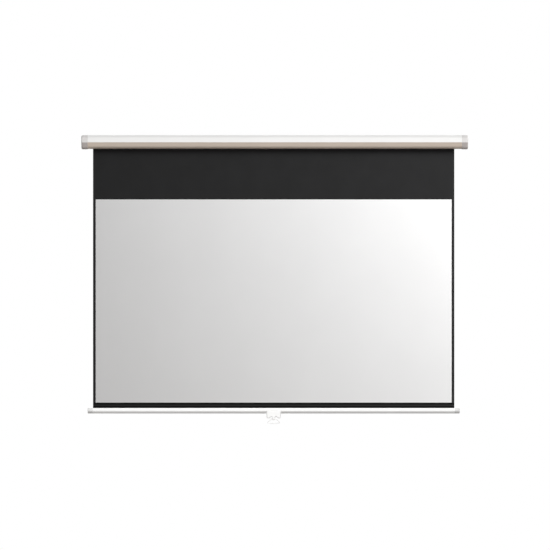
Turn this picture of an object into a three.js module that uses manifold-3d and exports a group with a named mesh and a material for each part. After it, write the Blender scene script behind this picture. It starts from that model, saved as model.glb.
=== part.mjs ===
// Pull down projector screen with a spring roller, shown with its cloth drawn down.
// Millimetres, +Z up. The wall is the plane y = 0 and the front faces -Y.
// The origin is the middle of the housing's flat back.

import * as THREE from 'three';
import { mergeVertices } from 'three/addons/utils/BufferGeometryUtils.js';
import Module from 'manifold-3d';

const wasm = await Module();
wasm.setup();

// Clearances
const fit = 0.3;
const overrun = 5;
const weld = 1e-4;

// Picture and cloth
const viewWidth = 1985;
const viewHeight = 1133;
const sideBorder = 15;
const topDrop = 282;
const hemHeight = 30;
const clothThickness = 0.4;
const inkThickness = 0.2;
const hemThickness = 1.4;

// Housing extrusion, with room past the roller tube for the idle end's and the ratchet's parts
const idleRoom = 19;
const ratchetRoom = 31;
const housingHeight = 76;
const housingWall = 1.6;
const topDepth = 50;
const shoulderDepth = 66.5;
const shoulderFall = 14;
const shoulderRadius = 9;
const creaseDepth = 70;
const creaseFall = 40.5;
const creaseStep = 1.2;
const creaseRadius = 1.4;
const underDepth = 46;
const underRadius = 30;
const backRadius = 1.5;
const slotWidth = 12;
const lipHeight = 3;
const channelBore = 4.4;
const channelWall = 2;
const channelInset = 2.4;
const channelSetback = 1.4;
const lowerChannelDepth = 37;

// End caps and brackets
const capWall = 2.4;
const capDrop = 2;
const capRound = 6.8;
const capInnerRound = 3.8;
const capCreaseRadius = 8;
const bracketThickness = 2;
const flangeLength = 26;
const flangeHeight = 44;
const keyholeHead = 10;
const keyholeNeck = 5;
const keyholeTravel = 12;
const hangHole = 7;
const topFlangeWidth = 24;

// Cap screws
const screwShank = 3.8;
const screwHead = 7.4;
const screwHeadHeight = 2.6;
const screwBite = 18;
const bossWall = 1.6;
const bossFloor = 3;
const driveSlotWidth = 1;
const driveSlotDepth = 1.2;

// Roller
const rollerDepth = 38;
const rollerFall = 36;
const tubeRadius = 21;
const tubeWall = 1.2;
const tubeOverhang = 10;
const turnsLeft = 1.5;
const plugFlange = 3;
const plugSpigot = 25;
const gudgeonRadius = 4;
const gudgeonGrip = 22;
const gudgeonReach = 3;
const bushWall = 2;
const bushFlangeRadius = 9;
const bushFlange = 1.5;

// Spring and ratchet
const shaftRadius = 4.5;
const bladeWidth = 9;
const bladeThickness = 4;
const bladeReach = 4;
const ratchetRadius = 9;
const ratchetThickness = 5;
const ratchetNotches = 4;
const notchRadius = 2.2;
const cupRadius = 21;
const cupWall = 1.4;
const coverThickness = 1.5;
const pawlCircle = 15.5;
const pawlReach = 9;
const pawlEye = 3;
const pawlTip = 1.2;
const pawlPinRadius = 1.5;
const pawlThrow = 46;
const clipThickness = 1;
const clipRadius = 8;
const clipGroove = 1;
const clipSetback = 1;
const springLength = 320;
const springCurls = 26;
const springRadius = 14;
const springWire = 2.4;
const anchorLength = 16;

// Bottom bar
const barMargin = 2.5;
const barHeight = 30.4;
const barTopWidth = 10;
const barTopRadius = 3;
const barBellyWidth = 21;
const barBellyDrop = 3;
const barBellyRadius = 12;
const barFootWidth = 8;
const barFootRadius = 4;
const barWall = 1.6;
const barPlugLength = 27;
const barPlugSpigot = 14;
const barPlugRound = 3;
const barSlit = 3.4;
const rodRadius = 4;
const rodDrop = 3;
const stopGap = 2;

// Handle
const handleWidth = 81;
const saddleWall = 2.2;
const saddleRise = 4;
const saddleRadius = 4;
const lobeDrop = 26.5;
const lobeWidth = 15;
const lobeSlant = 3;
const lobeRadius = 6.5;
const notchDrop = 17.5;
const tongueDrop = 37;
const tongueWidth = 18;
const tongueRadius = 6;
const eyeRise = 7;
const handleScrewSpacing = 56;
const handleScrewBite = 5;
const handleScrewShank = 3.2;
const handleScrewHead = 6;
const handleScrewHeadHeight = 1.6;
const ringWire = 4.4;
const ringTop = 25;
const ringBase = 82;
const ringHeight = 25;
const ringRadius = 7;

// Facets
const roundFacets = 36;
const smallFacets = 16;
const arcFacets = 5;
const wireFacets = 8;
const bevelFacets = 3;

// Places that follow from the sizes
const clothWidth = viewWidth + 2 * sideBorder;
const clothDrop = topDrop + viewHeight;
const housingTop = housingHeight / 2;
const housingBottom = -housingHeight / 2;
const barLength = clothWidth + 2 * barMargin;
const tubeLength = clothWidth + 2 * tubeOverhang;
const housingLength = idleRoom + tubeLength + ratchetRoom;
const housingEnd = housingLength / 2;
const clothShift = (idleRoom - ratchetRoom) / 2;
const capBottom = housingBottom - capDrop;
const rollerY = -rollerDepth;
const rollerZ = housingTop - rollerFall;
const rollRadius = tubeRadius + fit + turnsLeft * clothThickness;
const inkFront = rollerY + rollRadius + fit;
const clothFront = inkFront + inkThickness;
const clothBack = clothFront + clothThickness;
const clothY = (clothFront + clothBack) / 2;
const hemTop = housingBottom - clothDrop;
const barTop = hemTop - hemHeight;
const barZ = barTop - barHeight / 2;
const webInner = housingEnd + fit;
const webOuter = webInner + bracketThickness;

// Solid helpers

function solidOf(geometry) {
  const bare = geometry.clone();
  bare.deleteAttribute('normal');
  bare.deleteAttribute('uv');
  const welded = mergeVertices(bare, weld);
  const points = welded.getAttribute('position').array;
  const index = welded.getIndex().array;
  const triangles = [];
  let volume = 0;
  const corner = (i) => new THREE.Vector3().fromArray(points, 3 * i);
  for (let i = 0; i < index.length; i += 3) {
    const [a, b, c] = [index[i], index[i + 1], index[i + 2]];
    if (a === b || b === c || c === a) continue;
    triangles.push([a, b, c]);
    volume += corner(a).dot(corner(b).cross(corner(c)));
  }
  const facing = volume < 0 ? triangles.map(([a, b, c]) => [a, c, b]) : triangles;
  return new wasm.Manifold(new wasm.Mesh({
    numProp: 3,
    vertProperties: new Float32Array(points),
    triVerts: new Uint32Array(facing.flat()),
  }));
}

function geometryOf(solid) {
  const mesh = solid.getMesh();
  const geometry = new THREE.BufferGeometry();
  geometry.setAttribute('position', new THREE.Float32BufferAttribute(mesh.vertProperties, 3));
  geometry.setIndex(Array.from(mesh.triVerts));
  geometry.computeVertexNormals();
  return geometry;
}

function join(first, ...rest) {
  return rest.reduce((sum, next) => sum.add(next), first);
}

function cut(first, ...rest) {
  return rest.reduce((left, next) => left.subtract(next), first);
}

// A shape from corners [u, v, radius], each rounded by an arc
function rounded(corners, facets = arcFacets) {
  const points = [];
  corners.forEach(([u, v, radius = 0], i) => {
    const here = new THREE.Vector2(u, v);
    const before = new THREE.Vector2(...corners[(i + corners.length - 1) % corners.length]);
    const after = new THREE.Vector2(...corners[(i + 1) % corners.length]);
    const back = before.sub(here).normalize();
    const on = after.sub(here).normalize();
    const half = Math.acos(THREE.MathUtils.clamp(back.dot(on), -1, 1)) / 2;
    if (radius <= 0 || half > Math.PI / 2 - weld) {
      points.push(here);
      return;
    }
    const centre = here.clone().addScaledVector(back.clone().add(on).normalize(), radius / Math.sin(half));
    const from = here.clone().addScaledVector(back, radius / Math.tan(half)).sub(centre);
    const sweep = (Math.PI - 2 * half) * Math.sign(back.cross(on));
    for (let k = 0; k <= facets; k += 1) {
      const spoke = from.clone().rotateAround(new THREE.Vector2(), -sweep * k / facets);
      points.push(spoke.add(centre));
    }
  });
  return new THREE.Shape(points);
}

// The same corners with every side moved inwards by a wall
function inset(corners, wall) {
  const count = corners.length;
  const turn = Math.sign(THREE.ShapeUtils.area(corners.map(([x, y]) => ({ x, y }))));
  const side = (i) => {
    const a = new THREE.Vector2(...corners[i % count]);
    const b = new THREE.Vector2(...corners[(i + 1) % count]);
    const along = b.sub(a).normalize();
    const inward = new THREE.Vector2(-along.y, along.x).multiplyScalar(turn * wall);
    return { start: a.add(inward), along };
  };
  return corners.map(([, , radius = 0], i) => {
    const before = side(i + count - 1);
    const after = side(i);
    const bend = before.along.cross(after.along);
    const gap = after.start.clone().sub(before.start);
    const corner = before.start.addScaledVector(before.along, gap.cross(after.along) / bend);
    const moved = radius - wall * Math.sign(bend) * turn;
    return [corner.x, corner.y, radius > 0 ? Math.max(moved, 0) : 0];
  });
}

function box(u0, u1, v0, v1) {
  return new THREE.Shape([[u0, v0], [u1, v0], [u1, v1], [u0, v1]].map((p) => new THREE.Vector2(...p)));
}

function disc(u, v, radius, facets = smallFacets) {
  const points = [];
  for (let k = 0; k < facets; k += 1) {
    const angle = 2 * Math.PI * k / facets;
    points.push(new THREE.Vector2(u + radius * Math.cos(angle), v + radius * Math.sin(angle)));
  }
  return new THREE.Shape(points);
}

// Prisms of a shape drawn in (y, z), (x, z) or (x, y), between two planes
const X = new THREE.Vector3(1, 0, 0);
const Y = new THREE.Vector3(0, 1, 0);
const Z = new THREE.Vector3(0, 0, 1);

function prism(shape, low, high, basis, direction) {
  const geometry = new THREE.ExtrudeGeometry(shape, { depth: high - low, bevelEnabled: false });
  geometry.translate(0, 0, direction > 0 ? low : -high);
  geometry.applyMatrix4(new THREE.Matrix4().makeBasis(...basis));
  return solidOf(geometry);
}

const alongX = (shape, x0, x1) => prism(shape, Math.min(x0, x1), Math.max(x0, x1), [Y, Z, X], 1);
const alongY = (shape, y0, y1) => prism(shape, y0, y1, [X, Z, Y.clone().negate()], -1);
const alongZ = (shape, z0, z1) => prism(shape, z0, z1, [X, Y, Z], 1);

// A prism along X with its outer end rounded over and its inner end cut square
function roundEnded(corners, side, inner, outer, round) {
  const geometry = new THREE.ExtrudeGeometry(rounded(inset(corners, round)), {
    depth: outer - inner,
    bevelThickness: round,
    bevelSize: round,
    bevelSegments: bevelFacets,
  });
  geometry.applyMatrix4(new THREE.Matrix4().makeBasis(Y, Z, X));
  geometry.translate(side > 0 ? inner - round : -outer + round, 0, 0);
  const far = corners.reduce((most, corner) => Math.max(most, ...corner.map(Math.abs)), 0) + overrun;
  const trim = alongX(box(-far, far, -far, far), side * inner, side * (inner - 2 * round - overrun));
  return cut(solidOf(geometry), trim);
}

// A turned solid about the X axis, from corners [x, radius] that close on themselves
function turned(profile, facets = roundFacets) {
  const points = [...profile, profile[0]].map(([x, radius]) => new THREE.Vector2(radius, x));
  const geometry = new THREE.LatheGeometry(points, facets);
  geometry.rotateZ(-Math.PI / 2);
  return solidOf(geometry);
}

const ring = (x0, x1, inner, outer, facets) => turned(
  [[x0, inner], [x1, inner], [x1, outer], [x0, outer]], facets);
const rod = (x0, x1, radius, facets) => turned([[x0, 0], [x1, 0], [x1, radius], [x0, radius]], facets);

// Materials

const finishes = {
  paint: { color: 0xf4f2ee, roughness: 0.45, metalness: 0.1 },
  cap: { color: 0xe9e2dd, roughness: 0.5, metalness: 0 },
  steel: { color: 0xa9adb0, roughness: 0.35, metalness: 0.9 },
  zinc: { color: 0xc3c6c8, roughness: 0.3, metalness: 0.9 },
  aluminium: { color: 0xb9bcc0, roughness: 0.4, metalness: 0.8 },
  nylon: { color: 0xe6e3d8, roughness: 0.5, metalness: 0 },
  black: { color: 0x262626, roughness: 0.9, metalness: 0 },
  surface: { color: 0xdcdddf, roughness: 0.85, metalness: 0 },
  barPaint: { color: 0xf6f6f5, roughness: 0.4, metalness: 0.1 },
  barPlug: { color: 0xb9b9bb, roughness: 0.5, metalness: 0 },
  handle: { color: 0xf3f3f1, roughness: 0.4, metalness: 0 },
};

function piece(group, name, solid, finish) {
  const material = new THREE.MeshStandardMaterial({ ...finishes[finish], name: finish });
  const mesh = new THREE.Mesh(geometryOf(solid), material);
  mesh.name = name;
  group.add(mesh);
  return mesh;
}

const screen = new THREE.Group();
screen.name = 'projector_screen';

// Housing: a C-shaped extrusion, open underneath where the cloth leaves it

function caseCorners(bottom, crease) {
  return [
    [0, bottom, backRadius],
    [0, housingTop, backRadius],
    [-topDepth, housingTop, shoulderRadius],
    [-shoulderDepth, housingTop - shoulderFall, shoulderRadius],
    ...crease,
    [-underDepth, bottom, underRadius],
  ];
}

const creaseZ = housingTop - creaseFall;
const housingCorners = caseCorners(housingBottom, [
  [-creaseDepth, creaseZ, creaseRadius],
  [-creaseDepth + creaseStep, creaseZ - creaseStep, 0],
]);
const capCorners = caseCorners(capBottom, [[-creaseDepth, creaseZ, capCreaseRadius]]);

// Screw channels sit in three corners of the extrusion, as [y, z]
const channelRadius = channelBore / 2 + channelWall;
const channelDepth = housingWall + channelInset + channelRadius;
const channels = [
  [-channelDepth, housingTop - channelDepth],
  [-topDepth + channelSetback, housingTop - channelDepth],
  [-lowerChannelDepth, housingBottom + channelDepth],
];

function makeHousing() {
  const pastEnd = housingEnd + overrun;
  const shell = alongX(rounded(housingCorners), -housingEnd, housingEnd);
  const hollow = alongX(rounded(inset(housingCorners, housingWall)), -pastEnd, pastEnd);
  const slotFront = clothY - slotWidth / 2;
  const slotBack = clothY + slotWidth / 2;
  const lipTop = housingBottom + housingWall + lipHeight;
  const slot = box(slotFront, slotBack, housingBottom - overrun, lipTop);
  const lips = [slotFront, slotBack + housingWall].map((front) => alongX(
    box(front - housingWall, front, housingBottom + housingWall / 2, lipTop), -housingEnd, housingEnd));
  const ribs = channels.map(([y, z]) => {
    const wall = z > 0 ? housingTop : housingBottom;
    const inner = wall - Math.sign(z) * housingWall / 2;
    return join(
      alongX(disc(y, z, channelRadius), -housingEnd, housingEnd),
      alongX(box(y - housingWall / 2, y + housingWall / 2, Math.min(z, inner), Math.max(z, inner)),
        -housingEnd, housingEnd));
  });
  const bores = channels.map(([y, z]) => alongX(
    disc(y, z, channelBore / 2), -pastEnd, pastEnd));
  const open = cut(shell, hollow, alongX(slot, -pastEnd, pastEnd));
  return cut(join(open, ...lips, ...ribs), ...bores);
}

piece(screen, 'housing', makeHousing(), 'paint');

// End brackets, caps and their screws, mirrored by side: -1 is left, 1 is right

const flangeTop = housingTop - capWall - fit;
const keyholeX = webOuter + flangeLength / 2;
const keyholeZ = -keyholeTravel / 2;
const hangY = -(topDepth - channelSetback + channelDepth) / 2;
const bossBore = screwShank / 2 + fit;
const wellRadius = screwHead / 2 + fit;
const bossRadius = wellRadius + bossWall;
const pocketEnd = webOuter + flangeLength + capInnerRound;
const capEnd = pocketEnd + capWall;
const bushRadius = gudgeonRadius + fit + bushWall;

function makeBracket(side) {
  const plate = rounded(inset(capCorners, capWall + fit));
  const web = alongX(plate, side * webInner, side * webOuter);
  const tab = alongX(box(-capWall - overrun, 0, -flangeHeight / 2, flangeHeight / 2),
    side * webInner, side * webOuter);
  const [near, far] = [side * webInner, side * (webOuter + flangeLength)];
  const rear = alongX(box(-bracketThickness, 0, -flangeHeight / 2, flangeHeight / 2), near, far);
  const top = alongX(box(hangY - topFlangeWidth / 2, hangY + topFlangeWidth / 2,
    flangeTop - bracketThickness, flangeTop), near, far);
  const keyhole = join(
    alongY(disc(side * keyholeX, keyholeZ, keyholeHead / 2), -bracketThickness - overrun, overrun),
    alongY(rounded([
      [side * keyholeX - keyholeNeck / 2, keyholeZ],
      [side * keyholeX + keyholeNeck / 2, keyholeZ],
      [side * keyholeX + keyholeNeck / 2, keyholeZ + keyholeTravel, keyholeNeck / 2 - weld],
      [side * keyholeX - keyholeNeck / 2, keyholeZ + keyholeTravel, keyholeNeck / 2 - weld],
    ]), -bracketThickness - overrun, overrun));
  const hang = alongZ(disc(side * keyholeX, hangY, hangHole / 2),
    flangeTop - bracketThickness - overrun, flangeTop + overrun);
  const screwHoles = channels.map(([y, z]) => alongX(
    disc(y, z, bossBore), side * (webInner - overrun), side * (webOuter + overrun)));
  const seat = side < 0
    ? disc(rollerY, rollerZ, bushRadius + fit)
    : box(rollerY - bladeThickness / 2 - fit, rollerY + bladeThickness / 2 + fit,
      rollerZ - bladeWidth / 2 - fit, rollerZ + bladeWidth / 2 + fit);
  const opening = alongX(seat, side * (webInner - overrun), side * (webOuter + overrun));
  return cut(join(web, tab, rear, top), keyhole, hang, opening, ...screwHoles);
}

function makeCap(side) {
  const shell = roundEnded(capCorners, side, webInner, capEnd, capRound);
  const pocket = roundEnded(
    inset(capCorners, capWall), side, webInner - overrun, pocketEnd, capInnerRound);
  const bosses = channels.map(([y, z]) => alongX(
    disc(y, z, bossRadius), side * (webOuter + fit), side * capEnd));
  const wells = channels.map(([y, z]) => join(
    alongX(disc(y, z, bossBore), side * webOuter, side * (capEnd + overrun)),
    alongX(disc(y, z, wellRadius), side * (webOuter + fit + bossFloor), side * (capEnd + overrun))));
  const window = alongX(
    box(-capWall - fit, overrun, -flangeHeight / 2 - fit, flangeHeight / 2 + fit),
    side * (webInner - overrun), side * (webOuter + flangeLength + fit));
  const hang = alongZ(disc(side * keyholeX, hangY, hangHole / 2), flangeTop, housingTop + overrun);
  return solidOf(geometryOf(cut(shell, cut(pocket, ...bosses), window, hang, ...wells)));
}

function makeScrew(shankLength, shank, head, headHeight, side = 1) {
  const body = turned([
    [0, 0],
    [-side * shankLength, 0],
    [-side * (shankLength - shank / 2), shank / 2],
    [0, shank / 2],
    [0, head / 2],
    [side * headHeight * 2 / 3, head / 2],
    [side * headHeight, head / 3],
    [side * headHeight, 0],
  ], smallFacets);
  const crown = side * headHeight;
  const blades = [
    box(-driveSlotWidth / 2, driveSlotWidth / 2, -head / 4, head / 4),
    box(-head / 4, head / 4, -driveSlotWidth / 2, driveSlotWidth / 2),
  ];
  return cut(body, ...blades.map((blade) => alongX(
    blade, crown - side * driveSlotDepth, crown + side * overrun)));
}

[[-1, 'left'], [1, 'right']].forEach(([side, word]) => {
  piece(screen, `end_bracket_${word}`, makeBracket(side), 'zinc');
  piece(screen, `end_cap_${word}`, makeCap(side), 'cap');
  channels.forEach(([y, z], i) => {
    const screw = piece(screen, `cap_screw_${word}_${i + 1}`, makeScrew(
      screwBite + bossFloor, screwShank, screwHead, screwHeadHeight, side), 'steel');
    screw.position.set(side * (webOuter + 2 * fit + bossFloor), y, z);
  });
});

// The roller's line: everything fixed or turning about it is built round the X axis

const line = new THREE.Group();
line.position.set(0, rollerY, rollerZ);
screen.add(line);

const tubeLeft = clothShift - tubeLength / 2;
const tubeRight = clothShift + tubeLength / 2;
const tubeBore = tubeRadius - tubeWall;
const plugRadius = tubeBore - fit;

// Idle end at the left: bush in the bracket, gudgeon pin, plug
const bushFace = -webInner + fit + bushFlange;
piece(line, 'bearing_bush', turned([
  [-webOuter, gudgeonRadius + fit],
  [bushFace, gudgeonRadius + fit],
  [bushFace, bushFlangeRadius],
  [-webInner + fit, bushFlangeRadius],
  [-webInner + fit, bushRadius],
  [-webOuter, bushRadius],
], smallFacets), 'nylon');

const plugFace = tubeLeft - plugFlange;
piece(line, 'idle_plug', turned([
  [plugFace, gudgeonRadius + fit],
  [tubeLeft + plugSpigot, gudgeonRadius + fit],
  [tubeLeft + plugSpigot, plugRadius],
  [tubeLeft - fit, plugRadius],
  [tubeLeft - fit, tubeRadius],
  [plugFace, tubeRadius],
]), 'nylon');
piece(line, 'gudgeon_pin', rod(
  -webOuter - gudgeonReach, plugFace + gudgeonGrip, gudgeonRadius, smallFacets), 'steel');

piece(line, 'roller_tube', ring(tubeLeft, tubeRight, tubeBore, tubeRadius), 'aluminium');
piece(line, 'fabric_roll', ring(
  clothShift - clothWidth / 2, clothShift + clothWidth / 2, tubeRadius + fit, rollRadius), 'black');

// Drive end at the right: a cup that turns with the tube, its pawls, and the fixed ratchet wheel
const cupFloor = tubeRight + plugFlange;
const ratchetStart = cupFloor + 2 * fit;
const ratchetEnd = ratchetStart + ratchetThickness;
const cupRim = ratchetEnd + fit;
const coverEnd = cupRim + fit + coverThickness;
const shaftBore = shaftRadius + fit;
const clipStart = coverEnd + clipSetback;
const bladeStart = clipStart + clipThickness + 2 * clipSetback;
const springEnd = tubeRight - plugSpigot - anchorLength - 3 * fit;
const springStart = springEnd - springLength;
const mandrelTip = springStart - fit - anchorLength;

const pawlPlaces = [[1, 'upper'], [-1, 'lower']];

function makeDrivePlug() {
  const body = turned([
    [tubeRight - plugSpigot, shaftBore],
    [cupFloor, shaftBore],
    [cupFloor, cupRadius - cupWall],
    [cupRim, cupRadius - cupWall],
    [cupRim, cupRadius],
    [tubeRight + fit, cupRadius],
    [tubeRight + fit, plugRadius],
    [tubeRight - plugSpigot, plugRadius],
  ]);
  const pinHoles = pawlPlaces.map(([up]) => alongX(
    disc(0, up * pawlCircle, pawlPinRadius + fit), cupFloor - plugFlange, cupRim + overrun));
  return cut(body, ...pinHoles);
}

piece(line, 'drive_plug', makeDrivePlug(), 'nylon');

function makePawlCover() {
  const plate = ring(cupRim + fit, coverEnd, shaftRadius + 2 * fit, cupRadius);
  const pinHoles = pawlPlaces.map(([up]) => alongX(
    disc(0, up * pawlCircle, pawlPinRadius + fit), cupRim - overrun, coverEnd + overrun));
  return cut(plate, ...pinHoles);
}

piece(line, 'pawl_cover', makePawlCover(), 'zinc');
pawlPlaces.forEach(([up, word]) => {
  const pin = piece(line, `pawl_pin_${word}`, rod(
    cupFloor - plugFlange + fit, coverEnd, pawlPinRadius, smallFacets), 'steel');
  pin.position.z = up * pawlCircle;
});

// A pawl hangs from its pin with its tip just clear of the wheel's teeth
const tipCircle = ratchetRadius + fit + pawlTip;
const tipZ = (pawlCircle ** 2 - pawlReach ** 2 + tipCircle ** 2) / (2 * pawlCircle);
const tipY = Math.sqrt(tipCircle ** 2 - tipZ ** 2);

function makePawl() {
  const lean = Math.atan2(-tipY, tipZ - pawlCircle);
  const along = new THREE.Vector2(Math.sin(lean), Math.cos(lean));
  const across = new THREE.Vector2(along.y, -along.x);
  const at = (reach, half) => along.clone().multiplyScalar(reach).addScaledVector(across, half);
  const arm = new THREE.Shape([
    at(0, pawlEye), at(0, -pawlEye), at(pawlReach, -pawlTip), at(pawlReach, pawlTip)]);
  const [start, end] = [ratchetStart, ratchetEnd];
  const tip = at(pawlReach, 0);
  return cut(
    join(alongX(arm, start, end), alongX(disc(0, 0, pawlEye), start, end),
      alongX(disc(tip.x, tip.y, pawlTip), start, end)),
    alongX(disc(0, 0, pawlPinRadius + fit), start - overrun, end + overrun));
}

const upperPawl = piece(line, 'pawl_upper', makePawl(), 'steel');
upperPawl.position.z = pawlCircle;
const lowerPawl = piece(line, 'pawl_lower', makePawl(), 'steel');
lowerPawl.position.z = -pawlCircle;
lowerPawl.rotation.x = Math.PI - THREE.MathUtils.degToRad(pawlThrow);

function makeRatchet() {
  const wheel = ring(ratchetStart, ratchetEnd, shaftBore, ratchetRadius);
  const notches = Array.from({ length: ratchetNotches }, (_, i) => {
    const angle = 2 * Math.PI * i / ratchetNotches;
    return alongX(disc(ratchetRadius * Math.cos(angle), ratchetRadius * Math.sin(angle), notchRadius),
      ratchetStart - overrun, ratchetEnd + overrun);
  });
  return cut(wheel, ...notches);
}

piece(line, 'ratchet_wheel', makeRatchet(), 'steel');

// The spear: a round shaft and mandrel that ends in a flat blade held by the right bracket
function makeSpear() {
  const round = rod(mandrelTip, bladeStart, shaftRadius, smallFacets);
  const blade = alongX(box(-bladeThickness / 2, bladeThickness / 2, -bladeWidth / 2, bladeWidth / 2),
    bladeStart - clipSetback, webOuter + bladeReach);
  const groove = ring(clipStart - clipSetback / 2, clipStart + clipThickness + clipSetback / 2,
    shaftRadius - clipGroove, shaftRadius + overrun, smallFacets);
  return cut(join(round, blade), groove);
}

piece(line, 'spear_shaft', makeSpear(), 'steel');

function makeClip() {
  const plate = ring(clipStart, clipStart + clipThickness, shaftRadius - clipGroove + fit, clipRadius);
  const mouth = alongX(box(-shaftRadius, shaftRadius, -clipRadius - overrun, 0),
    clipStart - overrun, clipStart + clipThickness + overrun);
  return cut(plate, mouth);
}

piece(line, 'retaining_clip', makeClip(), 'steel');

const fixedAnchor = springEnd + fit;
piece(line, 'spring_anchor_fixed', ring(
  fixedAnchor, fixedAnchor + anchorLength, shaftBore, springRadius + springWire, smallFacets), 'nylon');
piece(line, 'spring_anchor_turning', ring(
  springStart - fit - anchorLength, springStart - fit, shaftBore, plugRadius), 'nylon');

// The torsion spring: one helix whose last stretch at each end turns straight into its anchor
class SpringCurve extends THREE.Curve {
  getPoint(t, target = new THREE.Vector3()) {
    const tail = springWire / springLength;
    const turn = THREE.MathUtils.clamp((t - tail) / (1 - 2 * tail), 0, 1);
    const angle = 2 * Math.PI * springCurls * turn;
    const [y, z] = [springRadius * Math.cos(angle), springRadius * Math.sin(angle)];
    return target.set(springStart + springLength * t, y, z);
  }
}

const curlSteps = 8;
const springSteps = curlSteps * springCurls;
const springSides = 5;

function makeSpring() {
  const path = new SpringCurve();
  const rows = [];
  const centres = [];
  for (let i = 0; i <= springSteps; i += 1) {
    const tail = springWire / springLength;
    const inner = tail + (1 - 2 * tail) * (i - 1) / (springSteps - 2);
    const t = i === 0 ? 0 : i === springSteps ? 1 : inner;
    const centre = path.getPoint(t);
    centres.push(centre);
    const out = new THREE.Vector3(0, centre.y, centre.z).normalize();
    const flat = i < 2 || i > springSteps - 2;
    const pitch = springLength / springCurls / (2 * Math.PI);
    const along = flat ? X.clone() : new THREE.Vector3(pitch, -centre.z, centre.y).normalize();
    const side = along.clone().cross(out).normalize();
    rows.push(Array.from({ length: springSides }, (_, k) => {
      const angle = 2 * Math.PI * k / springSides;
      return centre.clone()
        .addScaledVector(out, springWire / 2 * Math.cos(angle))
        .addScaledVector(side, springWire / 2 * Math.sin(angle));
    }));
  }
  const triangles = [];
  for (let i = 0; i < springSteps; i += 1) {
    for (let k = 0; k < springSides; k += 1) {
      const n = (k + 1) % springSides;
      const [row, next] = [rows[i], rows[i + 1]];
      triangles.push([row[k], row[n], next[n]], [row[k], next[n], next[k]]);
    }
  }
  for (let k = 1; k < springSides - 1; k += 1) {
    const last = rows[springSteps];
    triangles.push([rows[0][0], rows[0][k + 1], rows[0][k]], [last[0], last[k], last[k + 1]]);
  }
  const apart = centres.flatMap((here, i) => centres
    .slice(i + curlSteps / 2)
    .map((far) => here.distanceTo(far)));
  const leastGap = apart.reduce((least, distance) => Math.min(least, distance), springLength) - springWire;
  console.log(`the spring's least gap to itself is ${leastGap.toFixed(2)} mm`);
  return solidOf(new THREE.BufferGeometry().setFromPoints(triangles.flat()));
}

piece(line, 'torsion_spring', makeSpring(), 'steel');

// Cloth: the hanging sheet, and the black drop and side borders printed on its face

const cloth = new THREE.Group();
cloth.position.x = clothShift;
screen.add(cloth);

piece(cloth, 'screen_fabric', alongY(
  box(-clothWidth / 2, clothWidth / 2, hemTop + fit, rollerZ), clothFront, clothBack), 'surface');

function makeMasking() {
  const sheet = alongY(box(-clothWidth / 2, clothWidth / 2, hemTop + fit, rollerZ), inkFront, clothFront);
  const window = box(-viewWidth / 2, viewWidth / 2, hemTop - overrun, hemTop + viewHeight);
  const picture = alongY(window, inkFront - overrun, clothFront + overrun);
  return cut(sheet, picture);
}

piece(cloth, 'black_masking', makeMasking(), 'black');

// Bottom bar and all that rides on it, built round the middle of the bar's section

const bar = new THREE.Group();
bar.position.set(clothShift, clothY, barZ);
screen.add(bar);

const barCorners = [
  [-barTopWidth / 2, barHeight / 2, barTopRadius],
  [barTopWidth / 2, barHeight / 2, barTopRadius],
  [barBellyWidth / 2, -barBellyDrop, barBellyRadius],
  [barFootWidth / 2, -barHeight / 2, barFootRadius],
  [-barFootWidth / 2, -barHeight / 2, barFootRadius],
  [-barBellyWidth / 2, -barBellyDrop, barBellyRadius],
];
const barEnd = barLength / 2;
const loopRadius = rodRadius + fit + hemThickness / 2;
const handleScrews = [-handleScrewSpacing / 2, handleScrewSpacing / 2];
const gripDepth = barBellyWidth / 2 + fit + saddleWall;
const handleScrewSeat = gripDepth - saddleWall / 2;

function makeBar() {
  const shell = alongX(rounded(barCorners), -barEnd, barEnd);
  const hollow = alongX(rounded(inset(barCorners, barWall)), -barEnd - overrun, barEnd + overrun);
  const slit = alongX(
    box(-barSlit / 2, barSlit / 2, 0, barHeight / 2 + overrun), -barEnd - overrun, barEnd + overrun);
  const holes = handleScrews.map((x) => alongY(
    disc(x, -barBellyDrop, handleScrewShank / 2 + fit), 0, barBellyWidth));
  return cut(shell, hollow, slit, ...holes);
}

piece(bar, 'bottom_bar', makeBar(), 'barPaint');

function makeHem() {
  const half = clothWidth / 2;
  const leaf = alongX(
    box(-hemThickness / 2, hemThickness / 2, -rodDrop, barHeight / 2 + hemHeight), -half, half);
  const loop = alongX(disc(0, -rodDrop, loopRadius), -half, half);
  const hole = alongX(disc(0, -rodDrop, rodRadius + fit), -half - overrun, half + overrun);
  return cut(join(leaf, loop), hole);
}

piece(bar, 'screen_hem', makeHem(), 'black');
piece(bar, 'weight_rod', alongX(disc(0, -rodDrop, rodRadius), -clothWidth / 2, clothWidth / 2), 'steel');

function makeBarPlug(side) {
  const body = roundEnded(barCorners, side, barEnd + fit, barEnd + barPlugLength, barPlugRound);
  const inner = side * (barEnd - barPlugSpigot);
  const spigot = alongX(rounded(inset(barCorners, barWall + fit)), inner, side * (barEnd + barPlugRound));
  const room = alongX(disc(0, -rodDrop, loopRadius + fit), inner - side * overrun, side * barEnd);
  const leaf = alongX(box(-hemThickness / 2 - fit, hemThickness / 2 + fit, -rodDrop, barHeight),
    inner - side * overrun, side * barEnd);
  return join(body, cut(spigot, room, leaf));
}

piece(bar, 'bar_plug_left', makeBarPlug(-1), 'barPlug');
piece(bar, 'bar_plug_right', makeBarPlug(1), 'barPlug');

// Handle: a flat-fronted block let in round the bar, with two lobes and a tongue for the ring

const gripEnd = handleWidth / 2;
const gripBase = -barHeight / 2;
const tongueBottom = gripBase - tongueDrop;
const eyeZ = tongueBottom + eyeRise;

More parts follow.
